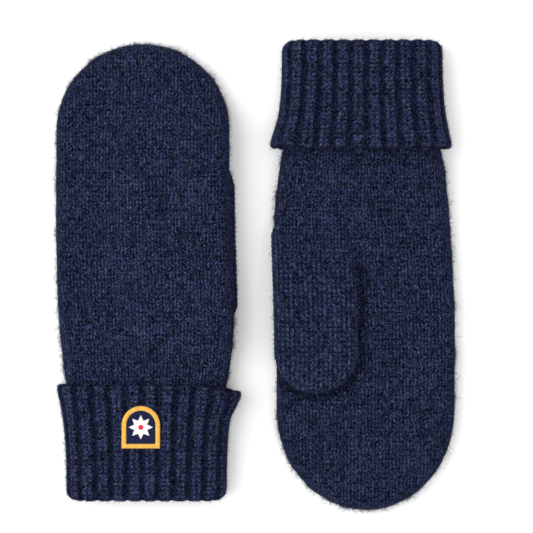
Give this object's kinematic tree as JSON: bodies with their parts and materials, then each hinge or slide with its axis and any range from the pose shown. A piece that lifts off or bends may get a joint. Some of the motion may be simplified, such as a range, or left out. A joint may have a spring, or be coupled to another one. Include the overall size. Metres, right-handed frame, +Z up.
{
  "type": "pair of knitted mittens",
  "caption": "Pair of lined knitted wool mittens lying flat, thumbs folded to the palm, with turned-back ribbed cuffs and an arched embroidered badge on the back of each cuff.",
  "frame": {"origin": "the middle of the pair's box, on the surface that it lies on", "axes": "+Y along the mittens, towards the left mitten's fingertips and the right mitten's cuff; +X from the left mitten to the right one; +Z up from the surface"},
  "size_m": [0.2479, 0.295, 0.0289],
  "materials": {
    "navy_wool": "brushed stockinette wool knit, navy melange",
    "navy_rib": "two-by-two rib wool knit, navy melange",
    "navy_yarn": "plied wool yarn",
    "fleece": "soft brushed fleece",
    "badge_cloth": "twill cloth",
    "gold_thread": "glossy overlocked embroidery thread",
    "white_thread": "glossy satin-stitch thread",
    "red_thread": "glossy satin-stitch thread",
    "label_satin": "blank woven satin"
  },
  "bodies": {
    "left_mitten": {"left_hand_shell": "navy_wool", "left_cuff_sleeve": "navy_rib", "left_hand_lining": "fleece", "left_lining_seam": "navy_yarn", "left_thumb_join_seam": "navy_yarn", "left_care_label": "label_satin"},
    "left_cuff": {"left_cuff_turnback": "navy_rib", "left_badge_ground": "badge_cloth", "left_badge_border": "gold_thread", "left_badge_star": "white_thread", "left_badge_star_centre": "red_thread", "left_badge_stitches": "gold_thread"},
    "left_thumb": {"left_thumb_shell": "navy_wool", "left_thumb_lining": "fleece"},
    "right_mitten": {"right_hand_shell": "navy_wool", "right_cuff_sleeve": "navy_rib", "right_hand_lining": "fleece", "right_lining_seam": "navy_yarn", "right_thumb_join_seam": "navy_yarn", "right_care_label": "label_satin"},
    "right_cuff": {"right_cuff_turnback": "navy_rib", "right_badge_ground": "badge_cloth", "right_badge_border": "gold_thread", "right_badge_star": "white_thread", "right_badge_star_centre": "red_thread", "right_badge_stitches": "gold_thread"},
    "right_thumb": {"right_thumb_shell": "navy_wool", "right_thumb_lining": "fleece"}
  },
  "joints": [
    {"name": "left_thumb_swing", "type": "hinge", "parent": "left_mitten", "child": "left_thumb", "pos_m": [-0.036, -0.006, 0.0118], "axis": [0, 0, -1], "range_deg": [0, 17]},
    {"name": "left_cuff_unfold", "type": "slide", "parent": "left_mitten", "child": "left_cuff", "axis": [0, -1, 0], "range_m": [0, 0.056]},
    {"name": "right_mitten_lift", "type": "slide", "parent": "left_mitten", "child": "right_mitten", "axis": [0, 0, 1], "range_m": [0, 0.15]},
    {"name": "right_thumb_swing", "type": "hinge", "parent": "right_mitten", "child": "right_thumb", "pos_m": [0.036, 0.0125, 0.0172], "axis": [0, 0, -1], "range_deg": [0, 17]},
    {"name": "right_cuff_unfold", "type": "slide", "parent": "right_mitten", "child": "right_cuff", "axis": [0, 1, 0], "range_m": [0, 0.056]}
  ]
}
